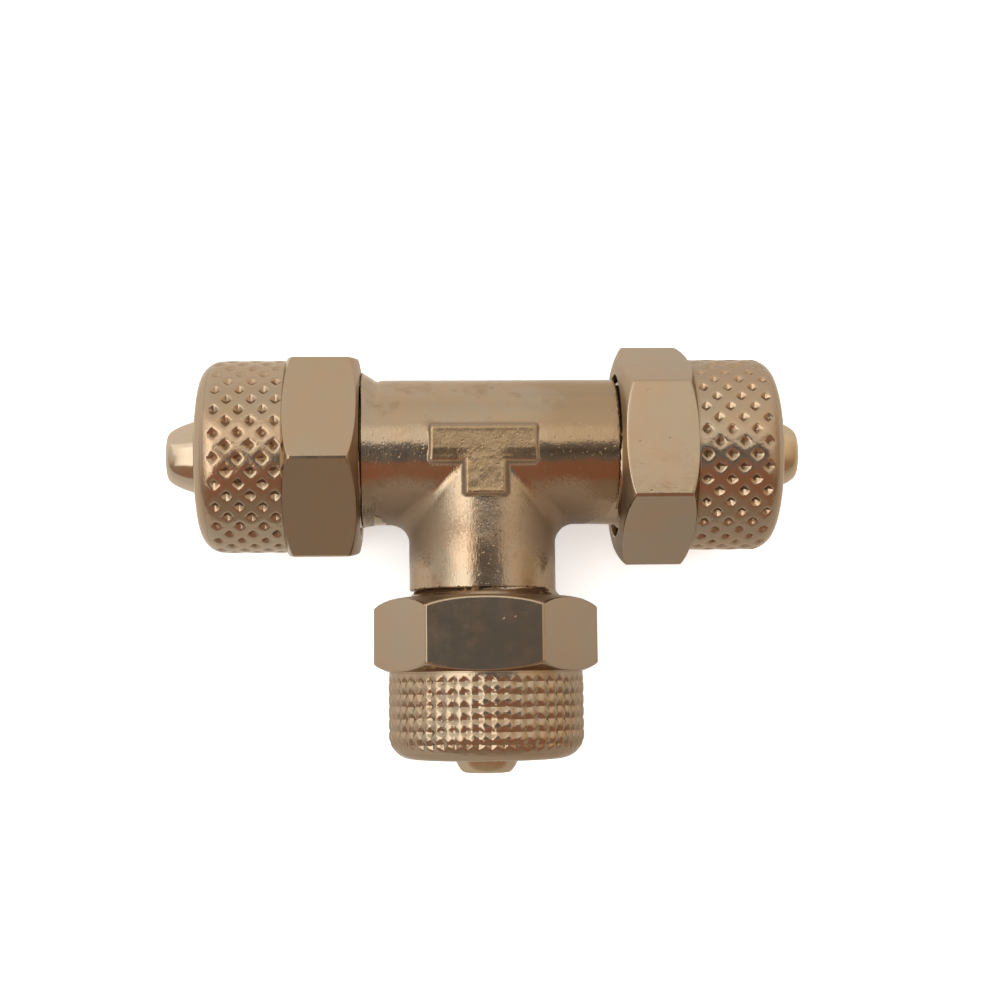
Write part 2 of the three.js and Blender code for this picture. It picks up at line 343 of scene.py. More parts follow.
def nut(where):
    k = KNURL[where]
    shell = Rings()
    th, rh = hex_columns(NUT_TURN[where])
    fine = np.radians(k["phase"] + 360.0 / (KNURL_ROWS * SUB) * np.arange(KNURL_ROWS * SUB))
    coarse = np.radians(np.arange(96) * 360.0 / 96)

    # inside thread, from the cone out to the inner end
    crest, root, depth_end = 5.02, 5.36, 4.95
    s_thread = np.arange(depth_end, 0.3, -0.052)
    for s in s_thread:
        phase = np.mod(s - coarse / (2 * math.pi) * PITCH, PITCH) / PITCH
        tri = np.abs(phase - 0.5) * 2                       # 0 mid, 1 at the crest
        depth = np.clip((1 - tri) * 1.35 - 0.12, 0, 1)
        fade = min(1.0, (depth_end - s) / 0.8, (s - 0.3) / 0.5 + 0.05)
        shell.add(coarse, crest + (root - crest) * depth * fade, s, 3.0)
    shell.add(coarse, crest, 0.2, 3.0)
    shell.add(coarse, 5.04, 0.08, 3.0)
    # inner end face and chamfer
    shell.add(th, 5.13, 0.0, 1.0)
    shell.add(th, 5.37, 0.0, 1.0)
    shell.add(th, 5.41, 0.006, 1.0)
    for t in np.linspace(0.07, 1, 10)[:-1]:
        r = 5.4 + (rh - 5.4) * t
        shell.add(th, r, chamfer(r), 1.0)
    edge = 0.06
    d = chamfer(rh)
    shell.add(th, rh - 0.9 * edge, chamfer(rh - 0.9 * edge), 1.3)
    shell.add(th, rh - 0.28 * edge, d + 0.1 * edge, 1.7)
    shell.add(th, rh, d + edge, 1.7)
    # flats
    s0, s1 = d + 2.2 * edge, HEX_END + 0.11 - d - 2.2 * edge
    for t in np.linspace(0, 1, 9):
        shell.add(th, rh, s0 + (s1 - s0) * t, 2.0)
    # outer chamfer, down to the barrel
    top = HEX_END + 0.11
    shell.add(th, rh, top - d - edge, 1.7)
    shell.add(th, np.maximum(rh - 0.28 * edge, KNURL_R + 0.012), top - d - 0.1 * edge, 1.7)
    for t in np.linspace(0.04, 1, 9)[:-1]:
        r = rh + (KNURL_R + 0.008 - rh) * t
        r = np.minimum(r, np.maximum(rh - 0.9 * edge, KNURL_R + 0.01))
        shell.add(th, r, top - chamfer(r), 1.0)
    shell.add(th, KNURL_R, top - float(chamfer(KNURL_R)), 1.0)
    # knurled barrel
    first = top - float(chamfer(KNURL_R)) + 0.03
    c_steps = np.arange(KNURL_ROWS * SUB, dtype=float)
    wear = Noise(11 + len(where))
    last = first
    margin = 8
    for i in range(-margin, (KNURL_COLUMNS - 1) * SUB + margin + 1):
        s = k["at"] + i * k["step"] / SUB
        if s < first or s > NUT_LENGTH - 0.35:
            continue
        px, py = KNURL_R * np.sin(fine), KNURL_R * np.cos(fine)
        drift, drift_c = wear(s + 80, px, py, 0.9), wear(s + 160, px, py, 0.9)
        d = knurl_depth(where, i + k["wander"] * drift, c_steps + k["wander"] * drift_c)
        p = wear(s, px, py, 1.7)
        q = wear(s + 40, px, py, 0.35)
        depth = k["depth"] * (1 + 0.22 * p) * d + 0.010 * q * np.clip(4 * d, 0, 1)
        shell.add(fine, barrel_radius(where, s) - depth, s, 4.0 + 0.9 * np.clip(d, 0, 1))
        last = s
    rim = RIM_R[where]
    t0 = math.asin(min(1.0, max(0.0, (last - (NUT_LENGTH - rim)) / rim)))
    if t0 <= 0:
        for s in np.linspace(last, NUT_LENGTH - rim, 4)[1:-1]:
            shell.add(fine, KNURL_R, s, 1.0)
    for t in np.linspace(t0, math.pi / 2, 9)[1:]:
        shell.add(fine, KNURL_R - rim + rim * math.cos(t), NUT_LENGTH - rim + rim * math.sin(t), 1.0)
    # end face, mouth and cone
    shell.add(coarse, 3.95, NUT_LENGTH, 1.0)
    shell.add(coarse, 3.46, NUT_LENGTH, 1.0)
    shell.add(coarse, 3.38, NUT_LENGTH - 0.03, 1.0)
    shell.add(coarse, 3.14, NUT_LENGTH - 0.26, 1.0)
    shell.add(coarse, 3.1, NUT_LENGTH - 0.34, 1.0)
    for s in (8.95, 8.55, 8.21):
        shell.add(coarse, 3.1, s, 3.0)
    for t in np.linspace(0.03, 1, 9):
        shell.add(coarse, 3.1 + (5.0 - 3.1) * t, 8.15 + (5.01 - 8.15) * t, 3.0)
    verts, tris, zones, lathes = shell.shell("loop")
    verts = verts + [NUT_AT[where], 0, 0]
    b = Build()
    b.add(verts @ TURN[where].T, zones, lathes)
    b.tris(tris)
    return b.object(f"{where}_nut_look", CROSS, sharp=26)


# ---------------------------------------------------------------------------
# forged body
# ---------------------------------------------------------------------------
grit = Noise(3)


def box2(x, y, box, round_off):
    cx, cy = (box[0] + box[1]) / 2, (box[2] + box[3]) / 2
    hx, hy = (box[1] - box[0]) / 2 - round_off, (box[3] - box[2]) / 2 - round_off
    qx, qy = np.abs(x - cx) - hx, np.abs(y - cy) - hy
    return np.minimum(np.maximum(qx, qy), 0) + np.hypot(np.maximum(qx, 0), np.maximum(qy, 0)) - round_off


def round_union(a, b, r):
    r = np.maximum(r, 1e-6)
    return np.maximum(r, np.minimum(a, b)) - np.hypot(np.maximum(r - a, 0), np.maximum(r - b, 0))


def round_cut(a, b, r):
    """Intersection with a rounded edge."""
    return np.minimum(-r, np.maximum(a, b)) + np.hypot(np.maximum(a + r, 0), np.maximum(b + r, 0))


def arms(x, y, z):
    """Distances to the run and to the branch before they are joined, and how square they meet."""
    ra = np.hypot(y - RUN_SHIFT_Y, z)
    rb = np.hypot(x - BRANCH_SHIFT_X, z)
    wave = 0.012 * grit(x, y, z, 1.5) + 0.0050 * grit(x + 31, y, z, 0.55)
    # a slight spread of the forging beside the left nut, at the two sides
    out = np.clip((np.abs(y) - 2.6) / 1.6, 0, 1)
    spread = np.clip((-x - 6.66) / 0.86, 0, 1) ** 1.1 * out * np.where(y > 0, 0.48, 0.16)
    dip = np.exp(-((x + 6.6) / 0.2) ** 2) * out * (y > 0)
    a = ra - ARM_R - wave - spread + 0.09 * dip
    b = rb - ARM_R - wave
    b = np.maximum(b, y - RUN_SHIFT_Y)
    meet = np.clip(1 - z * z / np.maximum(ra * rb, 1e-6), 0, 1)
    return a, b, meet


def forged(x, y, z):
    a, b, meet = arms(x, y, z)
    f = round_union(a, b, FILLET_R * meet ** 1.5 + 0.06)
    f = f + 0.0248 * np.clip(1 - np.hypot(a, b) / 0.5, 0, 1) * (1 - meet)
    # arm ends
    f = round_cut(f, np.maximum(-x - ARM_END["left"], x - ARM_END["right"]), 0.07)
    f = round_cut(f, -y - ARM_END["branch"], 0.07)
    # raised T pad with drafted sides, soft edges and two low places; the stem slopes down a little
    d2 = np.minimum(box2(x, y, PAD_BAR, 0.16), box2(x, y, PAD_STEM, 0.16))
    fall = 0.10 * np.clip((-0.12 - y) / 0.7, 0, 1) ** 1.2 * np.clip((np.abs(x + 0.06) - 0.8) / 0.9, 0, 1)
    fall = fall * np.clip((y + 1.2) / 0.3, 0, 1)
    low = -0.018 * np.clip(-0.9 - y, 0, 2)
    rough = 0.005 * grit(x + 7, y + 3, 0 * z, 0.45) + 0.0022 * grit(x + 17, y + 5, 0 * z, 0.2)
    rough = rough * (0.5 + np.clip(0.3 - y, 0, 1))
    lip = 0.010 * np.exp(-((d2 + 0.20) / 0.10) ** 2)
    top = z - (PAD_TOP - 0.10 + rough + lip - fall - low)
    side = (d2 + 0.05 - 0.62 * (PAD_TOP - 0.08 - z)) * 0.85
    pad = round_cut(side, top, 0.10)
    pad = np.maximum(pad, 3.2 - z)
    f = round_union(f, pad, 0.05)
    # through bores
    bore = np.minimum(np.hypot(y, z), np.where(y < 0, np.hypot(x, z), 99.0)) - (BORE_R + 0.004)
    return np.maximum(f, -bore)


def surface_net(f, xs, ys, zs):
    X, Y, Z = np.meshgrid(xs, ys, zs, indexing="ij")
    F = f(X, Y, Z)
    F[np.abs(F) < 1e-9] = 1e-9
    inside = F < 0
    corner = [(a, b, c) for a in (0, 1) for b in (0, 1) for c in (0, 1)]
    nx, ny, nz = F.shape

    def view(arr, a, b, c):
        return arr[a:nx - 1 + a, b:ny - 1 + b, c:nz - 1 + c]

    total = sum(view(inside, *c).astype(np.int8) for c in corner)
    mixed = (total > 0) & (total < 8)
    index = np.full(mixed.shape, -1, np.int64)
    index[mixed] = np.arange(mixed.sum())
    cells = np.argwhere(mixed)
    acc = np.zeros((len(cells), 3))
    num = np.zeros(len(cells))
    grid = (xs, ys, zs)

    def point(c):
        return np.stack([grid[k][cells[:, k] + c[k]] for k in range(3)], 1)

    for ca in corner:
        for axis in range(3):
            if ca[axis]:
                continue
            cb = list(ca)
            cb[axis] = 1
            va, vb = view(F, *ca)[mixed], view(F, *cb)[mixed]
            cross = (va < 0) != (vb < 0)
            t = np.where(cross, va / np.where(cross, va - vb, 1), 0)
            p = point(ca) + (point(cb) - point(ca)) * t[:, None]
            acc[cross] += p[cross]
            num[cross] += 1
    verts = acc / num[:, None]
    quads = []
    for axis in range(3):
        u, v = (axis + 1) % 3, (axis + 2) % 3
        sl_a = [slice(1, -1)] * 3
        sl_b = [slice(1, -1)] * 3
        sl_a[axis] = slice(0, -1)
        sl_b[axis] = slice(1, None)
        ia, ib = inside[tuple(sl_a)], inside[tuple(sl_b)]
        where = np.argwhere(ia != ib)
        out = ia[tuple(where.T)]
        base = where.copy()
        base[:, u] += 1
        base[:, v] += 1

        def cell(du, dv):
            c = base.copy()
            c[:, u] -= du
            c[:, v] -= dv
            return index[tuple(c.T)]
        q = np.stack([cell(1, 1), cell(0, 1), cell(0, 0), cell(1, 0)], 1)
        q[~out] = q[~out][:, ::-1]
        quads.append(q)
    return verts, np.concatenate(quads)


def gradient(f, p, e=2e-3):
    g = np.empty_like(p)
    for k in range(3):
        d = np.zeros(3)
        d[k] = e
        g[:, k] = (f(*(p + d).T) - f(*(p - d).T)) / (2 * e)
    return g


def spaced(lo, hi, step, fine=(), fine_step=0.055, reach=0.2):
    """Grid lines, closer together near the places in fine."""
    out = [lo]
    while out[-1] < hi:
        near = any(abs(out[-1] - c) < reach for c in fine)
        out.append(out[-1] + (fine_step if near else step))
    return np.array(out)


def tee_body():
    b = Build()
    step = 0.125
    xs = spaced(-7.75, 8.3, step, (-3.36, 3.06, -1.28, 1.16))
    ys = spaced(-8.65, 5.45, step, (-0.87, 1.27, -2.89))
    zs = spaced(-4.9, 5.2, step, (4.62,), 0.05, 0.22)
    verts, quads = surface_net(forged, xs, ys, zs)
    for _ in range(4):
        val = forged(*verts.T)
        g = gradient(forged, verts)
        move = -(val / np.maximum((g * g).sum(1), 0.25))[:, None] * g
        size = np.linalg.norm(move, axis=1, keepdims=True)
        verts = verts + move * np.minimum(1, 0.05 / np.maximum(size, 1e-9))
    g = gradient(forged, verts, 6e-3)
    normals = g / np.maximum(np.linalg.norm(g, axis=1, keepdims=True), 1e-9)
    d1 = np.linalg.norm(verts[quads[:, 0]] - verts[quads[:, 2]], axis=1)
    d2 = np.linalg.norm(verts[quads[:, 1]] - verts[quads[:, 3]], axis=1)
    first = d1 <= d2
    tris = np.concatenate([quads[first][:, [0, 1, 2]], quads[first][:, [0, 2, 3]],
                           quads[~first][:, [0, 1, 3]], quads[~first][:, [1, 2, 3]]])
    if signed_volume(verts, tris) < 0:
        tris = tris[:, ::-1]
    # 10: forged skin, 11: top of the pad
    on_pad = np.clip((verts[:, 2] - 4.52) / 0.08, 0, 1) * (normals[:, 2] > 0.8)
    ra, rb, meet = arms(*verts.T)
    # 1 in the inside corners and close to them, where the colour is darkened as painted shade and the skin is duller
    corner = np.clip(2.2 - np.maximum(ra, rb) / 1.6, 0, 1) * np.clip((-1.3 - verts[:, 1]) / 1.3, 0, 1)
    corner = corner * np.clip((meet - 0.22) / 0.35, 0, 1)
    corner = corner * corner * (3 - 2 * corner)
    # so are the drafted sides of the pad
    x, y, z = verts.T
    beside = np.abs(np.minimum(box2(x, y, PAD_BAR, 0.16), box2(x, y, PAD_STEM, 0.16)) - 0.04)
    wall = np.clip((0.95 - normals[:, 2]) / 0.06, 0, 1) * np.clip((0.34 - beside) / 0.1, 0, 1) * (z > 3.6)
    corner = np.maximum(corner, 0.9 * wall)
    start = b.add(verts, 10.0 + on_pad, np.stack([corner, verts[:, 1], verts[:, 2]], 1), normals)
    b.tris(tris + start)

    for where in ("left", "right", "branch"):
        a = ARM_END[where]
        flare = a + FLARE
        n = 120
        th = np.arange(n) * 2 * math.pi / n
        shell = Rings()
        shell.add(th, BORE_R, a - 2.5, 3.0)
        shell.add(th, 3.4, a - 2.5, 3.0)
        shell.add(th, NECK_R - 0.1, a - 2.3, 3.0)
        # neck and flare up to the first thread
        for s, r in ((a - 0.5, NECK_R - 0.05), (a - 0.02, NECK_R - 0.01), (a + 0.06, NECK_R + 0.02), (a + 0.16, NECK_R + 0.09)):
            shell.add(th, r, s, 5.0)
        for t in np.linspace(0.3, 1, 5):
            shell.add(th, NECK_R + (CREST_R - NECK_R) * t, a + 0.04 + FLARE * t, 5.0)
        # helical thread
        end = THREAD_END - 0.3
        for s in np.arange(flare + 0.1, end, 0.05):
            phase = np.mod(s - th / (2 * math.pi) * PITCH, PITCH) / PITCH
            tri = np.abs(phase - 0.5) * 2
            depth = np.clip((1 - tri) * 1.4 - 0.14, 0, 1)
            fade = min(1.0, (s - flare) / 0.45, (end - s) / 0.2 + 0.3)
            shell.add(th, CREST_R - (CREST_R - ROOT_R) * depth * fade, s, 6.0)
        shell.add(th, CREST_R - 0.03, end, 5.0)
        shell.add(th, ROOT_R - 0.06, THREAD_END - 0.03, 5.0)
        shell.add(th, ROOT_R - 0.12, THREAD_END, 5.0)
        # shoulder and spigot
        prof = [(12.75, 3.36), (12.78, 3.28), (13.2, 2.78), (13.65, 2.3), (13.85, 2.12), (14.15, 2.02), (14.5, 2.0),
                (15.3, 2.0), (15.6, 2.02), (16.1, 2.13), (16.6, 2.25), (16.95, 2.315), (17.2, 2.345), (17.42, 2.35),
                (17.52, 2.343), (17.75, 2.262), (18.1, 2.135), (18.45, 2.02), (18.8, 1.865), (18.98, 1.78),
                (19.09, 1.715), (19.2, 1.64), (19.32, 1.545), (19.4, 1.45), (19.44, 1.36), (19.45, 1.3),
                (19.45, 1.08), (19.43, 1.03), (19.38, BORE_R)]
        for s, r in prof:
            shell.add(th, r, s, 7.0)
        for s in (18.6, 17.0, 14.0, 11.0):
            shell.add(th, BORE_R, s, 8.0)
        v, t, z, l = shell.shell("loop")
        start = b.add(v @ TURN[where].T, z, l)
        b.tris(t + start)
    return b


def finish_body():
    b = tee_body()
    # machined ends take their own smooth normals, the forged skin takes the surface's
    return b.object("tee_body_look", CROSS, sharp=None)


# ---------------------------------------------------------------------------
# materials
# ---------------------------------------------------------------------------
class Nodes:
    def __init__(self, tree):
        self.tree = tree
        tree.nodes.clear()

    def new(self, kind, inputs=None, **props):
        n = self.tree.nodes.new(kind)
        for key, value in props.items():
            setattr(n, key, value)
        for key, value in (inputs or {}).items():
            if isinstance(value, bpy.types.NodeSocket):
                self.tree.links.new(value, n.inputs[key])
            else:
                n.inputs[key].default_value = value
        return n

    def math(self, op, a, b=0.0, c=None, clamp=False):
        n = self.new("ShaderNodeMath", {0: a, 1: b}, operation=op, use_clamp=clamp)
        if c is not None:
            if isinstance(c, bpy.types.NodeSocket):
                self.tree.links.new(c, n.inputs[2])
            else:
                n.inputs[2].default_value = c
        return n.outputs[0]

    def ramp(self, value, stops, interpolation="LINEAR"):
        n = self.new("ShaderNodeValToRGB", {0: value})
        n.color_ramp.interpolation = interpolation
        e = n.color_ramp.elements
        while len(e) < len(stops):
            e.new(0.5)
        for el, (pos, col) in zip(e, stops):
            el.position = pos
            el.color = (*col, 1) if isinstance(col, (tuple, list)) else (col, col, col, 1)
        return n.outputs[0]

    def between(self, value, lo, hi, to_lo=0.0, to_hi=1.0):
        n = self.new("ShaderNodeMapRange", {"Value": value, "From Min": lo, "From Max": hi, "To Min": to_lo, "To Max": to_hi})
        n.interpolation_type = "SMOOTHSTEP"
        return n.outputs[0]

    def mix(self, factor, a, b):
        n = self.new("ShaderNodeMix", data_type="RGBA", blend_type="MIX")
        for socket, value in (("Factor", factor), ("A", a), ("B", b)):
            target = [i for i in n.inputs if i.name == socket and (i.type == "RGBA" if socket != "Factor" else i.type == "VALUE")][0]
            if isinstance(value, bpy.types.NodeSocket):
                self.tree.links.new(value, target)
            else:
                target.default_value = (*value, 1) if isinstance(value, (tuple, list)) and len(value) == 3 else value
        return [o for o in n.outputs if o.type == "RGBA"][0]


# nickel over brass: warm grey-gold metal, linear
PLATE = (0.345, 0.262, 0.177)
PLATE_COOL = (0.335, 0.266, 0.187)
PLATE_WARM = (0.360, 0.255, 0.165)
PLATE_GOLD = (0.300, 0.207, 0.122)
TARNISH = (0.150, 0.100, 0.060)


def metal(name, build):
    m = bpy.data.materials.new(name)
    m.use_nodes = True
    n = Nodes(m.node_tree)
    out = n.new("ShaderNodeOutputMaterial")
    bsdf = n.new("ShaderNodeBsdfPrincipled", {"Metallic": 0.96, "Specular Tint": (0.80, 0.74, 0.66, 1)})
    n.tree.links.new(bsdf.outputs[0], out.inputs["Surface"])
    coord = n.new("ShaderNodeTexCoord").outputs["Object"]
    mm = n.new("ShaderNodeVectorMath", {0: coord, 1: (1000, 1000, 1000)}, operation="MULTIPLY").outputs[0]
    zone = n.new("ShaderNodeAttribute", attribute_name="zone").outputs["Fac"]
    lathe = n.new("ShaderNodeAttribute", attribute_name="lathe").outputs["Vector"]
    color, rough, bump, strength, matt = build(n, mm, zone, lathe)
    n.tree.links.new(color, bsdf.inputs["Base Color"])
    n.tree.links.new(rough, bsdf.inputs["Roughness"])
    if matt is not None:
        n.tree.links.new(n.math("SUBTRACT", 0.96, matt), bsdf.inputs["Metallic"])
    b = n.new("ShaderNodeBump", {"Height": bump, "Distance": MM, "Strength": strength})
    n.tree.links.new(b.outputs[0], bsdf.inputs["Normal"])
    return m


def cloud(n, mm, scale, detail=3.0, rough=0.55, seed=0.0, stretch=None):
    v = mm
    if stretch:
        v = n.new("ShaderNodeVectorMath", {0: mm, 1: stretch}, operation="MULTIPLY").outputs[0]
    if seed:
        v = n.new("ShaderNodeVectorMath", {0: v, 1: (seed, seed * 1.7, seed * 0.6)}, operation="ADD").outputs[0]
    return n.new("ShaderNodeTexNoise", {"Vector": v, "Scale": scale, "Detail": detail, "Roughness": rough}).outputs[0]


def pits(n, mm, scale, seed, size, chance):
    """Sparse round spots: 1 in a spot, 0 elsewhere."""
    v = n.new("ShaderNodeVectorMath", {0: mm, 1: (seed, seed * 0.7, seed * 1.3)}, operation="ADD").outputs[0]
    near = n.new("ShaderNodeTexVoronoi", {"Vector": v, "Scale": scale, "Randomness": 1.0}, feature="F1")
    spot = n.between(near.outputs["Distance"], size, size * 0.35)
    pick = n.new("ShaderNodeSeparateColor", {0: near.outputs["Color"]}).outputs[0]
    return n.math("MULTIPLY", spot, n.math("LESS_THAN", pick, chance))


def nut_look(n, mm, zone, lathe):
    big = cloud(n, mm, 0.22, 2.0)
    mid = cloud(n, mm, 1.1, 4.0, 0.6, 13.0)
    fine = cloud(n, mm, 9.0, 3.0, 0.6, 5.0)
    hue = n.between(n.math("ADD", n.math("MULTIPLY", big, 0.65), n.math("MULTIPLY", mid, 0.35)), 0.38, 0.62)
    color = n.mix(hue, PLATE_COOL, PLATE_WARM)
    color = n.mix(n.between(cloud(n, mm, 0.9, 3.0, 0.6, 31.0), 0.45, 0.8, 0.0, 0.5), color, PLATE)
    in_pit = n.between(zone, 4.05, 4.85)
    pit_only = n.math("MULTIPLY", in_pit, n.math("LESS_THAN", zone, 4.95))
    inside = n.math("MULTIPLY", n.math("GREATER_THAN", zone, 2.6), n.math("LESS_THAN", zone, 3.4))
    dirt = n.math("MULTIPLY", pit_only, n.between(mid, 0.40, 0.62, 0.0, 0.22))
    color = n.mix(dirt, color, TARNISH)
    color = n.mix(n.math("MULTIPLY", inside, 0.35), color, TARNISH)
    spots = pits(n, mm, 1.6, 3.0, 0.16, 0.35)
    # turning marks round the lathe axis, on everything but the flats
    flat = n.math("MULTIPLY", n.math("GREATER_THAN", zone, 1.5), n.math("LESS_THAN", zone, 2.5))
    turned = n.math("SUBTRACT", 1.0, flat)
    rings = cloud(n, lathe, 12.0, 3.0, 0.7, 2.0, (1.0, 0.015, 1.0))
    # long fine scratches on the flats
    s1 = cloud(n, mm, 1.0, 2.0, 0.5, 7.0, (7.0, 0.5, 0.9))
    s2 = cloud(n, mm, 1.0, 2.0, 0.5, 19.0, (0.6, 8.0, 1.1))
    scratch = n.math("ADD", n.between(s1, 0.60, 0.70), n.between(s2, 0.62, 0.72))
    height = n.math("MULTIPLY", mid, 0.012)
    height = n.math("ADD", height, n.math("MULTIPLY", fine, 0.0016))
    height = n.math("ADD", height, n.math("MULTIPLY", n.math("MULTIPLY", rings, turned), 0.0022))
    # rolling the knurl leaves the barrel uneven
    rolled = n.math("MULTIPLY", n.math("GREATER_THAN", zone, 3.9), n.math("LESS_THAN", zone, 5.1))
    height = n.math("ADD", height, n.math("MULTIPLY", n.math("MULTIPLY", cloud(n, mm, 2.0, 3.0, 0.6, 77.0), rolled), 0.034))
    height = n.math("SUBTRACT", height, n.math("MULTIPLY", n.math("MULTIPLY", scratch, flat), 0.0006))
    height = n.math("SUBTRACT", height, n.math("MULTIPLY", spots, 0.006))
    rough = n.between(mid, 0.3, 0.7, 0.15, 0.23)
    rough = n.math("SUBTRACT", rough, n.math("MULTIPLY", flat, 0.06))
    rough = n.math("ADD", rough, n.math("MULTIPLY", pit_only, 0.04))
    rough = n.math("ADD", rough, n.math("MULTIPLY", n.math("MULTIPLY", scratch, flat), 0.03))
    # the inner end is faced off coarsely, and the thread inside is dull
    along = n.new("ShaderNodeSeparateXYZ", {0: lathe}).outputs[0]
    faced = n.math("MULTIPLY", n.between(along, 0.55, 0.75, 1.0, 0.0), n.math("LESS_THAN", zone, 1.2))
    rough = n.math("ADD", rough, n.math("MULTIPLY", faced, 0.22))
    rough = n.math("ADD", rough, n.math("MULTIPLY", inside, 0.15))
    return color, rough, height, 1.0, None


def forged_look(n, mm, zone, lathe):
    big = cloud(n, mm, 0.3, 2.0, 0.5, 3.0)
    mid = cloud(n, mm, 1.3, 4.0, 0.6, 23.0)
    fine = cloud(n, mm, 7.0, 4.0, 0.65, 41.0)
    skin = n.math("GREATER_THAN", zone, 9.5)
    pad = n.math("MULTIPLY", n.between(zone, 10.2, 10.9), skin)
    machined = n.math("SUBTRACT", 1.0, skin)
    spigot = n.math("MULTIPLY", n.math("GREATER_THAN", zone, 6.5), n.math("LESS_THAN", zone, 8.5))
    hue = n.between(n.math("ADD", n.math("MULTIPLY", big, 0.6), n.math("MULTIPLY", mid, 0.4)), 0.4, 0.62)
    color = n.mix(hue, PLATE_COOL, PLATE_WARM)
    stain = n.math("MULTIPLY", skin, n.between(cloud(n, mm, 0.8, 5.0, 0.62, 57.0), 0.52, 0.75, 0.0, 0.45))
    color = n.mix(stain, color, TARNISH)
    color = n.mix(n.math("MULTIPLY", pad, 0.8), color, (0.315, 0.218, 0.120))
    color = n.mix(n.math("MULTIPLY", pad, n.between(fine, 0.46, 0.66, 0.0, 0.25)), color, TARNISH)
    color = n.mix(n.math("MULTIPLY", spigot, 0.8), color, (0.47, 0.38, 0.275))
    # painted highlight: the right and the branch spigots get a lighter, yellower brass colour that stands in for the
    # bright highlights on them
    sx, sy, _ = n.new("ShaderNodeSeparateXYZ", {0: mm}).outputs
    spigot_painted_highlight = n.math("MULTIPLY", spigot, n.math("ADD", n.math("GREATER_THAN", sx, 9.0), n.math("LESS_THAN", sy, -9.0)))
    color = n.mix(n.math("MULTIPLY", spigot_painted_highlight, 0.8), color, (0.50, 0.39, 0.25))
    # the plating is thinner on the right arm, and the brass shows through
    side = n.new("ShaderNodeSeparateXYZ", {0: mm}).outputs[0]
    thin = n.math("MULTIPLY", n.between(n.math("ADD", side, n.math("MULTIPLY", n.math("SUBTRACT", big, 0.5), 6.0)), 1.5, 5.0, 0.0, 0.85), skin)
    color = n.mix(thin, color, PLATE_GOLD)
    crater = n.math("ADD", pits(n, mm, 3.4, 5.0, 0.30, 0.30), n.math("MULTIPLY", pits(n, mm, 7.0, 9.0, 0.30, 0.30), 0.6))
    rings = cloud(n, lathe, 14.0, 3.0, 0.7, 2.0, (1.0, 0.015, 1.0))
    height = n.math("MULTIPLY", n.math("MULTIPLY", mid, skin), 0.010)
    # short fine streaks across the run, flecks along the branch
    streak = cloud(n, mm, 1.0, 3.0, 0.65, 67.0, (9.0, 2.2, 5.0))
    height = n.math("ADD", height, n.math("MULTIPLY", n.math("MULTIPLY", fine, skin), 0.0042))
    height = n.math("ADD", height, n.math("MULTIPLY", n.math("MULTIPLY", streak, skin), 0.011))
    height = n.math("ADD", height, n.math("MULTIPLY", n.math("MULTIPLY", fine, pad), 0.002))
    height = n.math("SUBTRACT", height, n.math("MULTIPLY", n.math("MULTIPLY", crater, skin), 0.008))
    height = n.math("ADD", height, n.math("MULTIPLY", n.math("MULTIPLY", rings, machined), 0.0018))
    corner = n.math("MULTIPLY", n.new("ShaderNodeSeparateXYZ", {0: lathe}).outputs[0], skin, clamp=True)
    # the dull, shade-darkened skin ends in a mottled border
    border = n.math("MULTIPLY", n.math("MULTIPLY", corner, n.math("SUBTRACT", 1.0, corner)), 10.0)
    corner = n.math("MULTIPLY_ADD", n.math("SUBTRACT", fine, 0.5), border, corner, clamp=True)
    # painted shade: the colour is darkened in the inside corners where the arms meet and on the pad's drafted sides
    color = n.mix(n.math("MULTIPLY", corner, 0.8), color, (0.165, 0.115, 0.070))
    rough = n.between(mid, 0.3, 0.7, 0.10, 0.15)
    rough = n.math("ADD", rough, n.math("MULTIPLY", corner, 0.32))
    rough = n.math("ADD", rough, n.math("MULTIPLY", pad, 0.10))
    rough = n.math("SUBTRACT", rough, n.math("MULTIPLY", spigot, 0.03))
    rough = n.math("ADD", rough, n.math("MULTIPLY", spigot_painted_highlight, 0.16))
    # the as-forged skin in the corners is duller
    return color, rough, height, 1.0, n.math("MULTIPLY", corner, 0.55)


# ---------------------------------------------------------------------------
# build the pieces
# ---------------------------------------------------------------------------
body = finish_body()
body.data.materials.append(metal("forged_plated_brass", forged_look))
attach(body, "tee")
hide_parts("tee_body")

satin = metal("turned_plated_brass", nut_look)
for where in ("left", "right", "branch"):
    piece = nut(where)
    piece.data.materials.append(satin)
    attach(piece, f"{where}_clamp")
    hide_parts(f"{where}_nut")

# ---------------------------------------------------------------------------
# floor, studio light and camera
# ---------------------------------------------------------------------------
def plane(name, cx, cy, z, hx, hy, n=1):
    xs, ys = np.linspace(cx - hx, cx + hx, n + 1), np.linspace(cy - hy, cy + hy, n + 1)
    v = [(x, y, z) for y in ys for x in xs]
    f = [(j * (n + 1) + i, j * (n + 1) + i + 1, (j + 1) * (n + 1) + i + 1, (j + 1) * (n + 1) + i) for j in range(n) for i in range(n)]
    me = bpy.data.meshes.new(name)
    me.from_pydata(v, [], f)
    o = bpy.data.objects.new(name, me)
    bpy.context.scene.collection.objects.link(o)
    return o


floor = plane("floor", 0, 0, -0.00002, 1.2, 1.2, 4)
m = bpy.data.materials.new("floor_white")
m.use_nodes = True
n = Nodes(m.node_tree)
matt = n.new("ShaderNodeBsdfDiffuse", {"Color": (0.885, 0.895, 0.905, 1)})
where_at = n.new("ShaderNodeSeparateXYZ", {0: n.new("ShaderNodeTexCoord").outputs["Object"]})
fx, fy, _ = where_at.outputs
# painted reflection: seen in the metal only, the floor glows, brighter towards +Y and towards -X, and warmer towards +X
# and -Y
tone = n.math("ADD", n.between(fy, -0.022, 0.010, 0.62, 1.10), n.between(fx, -0.02, 0.026, 0.06, -0.20))
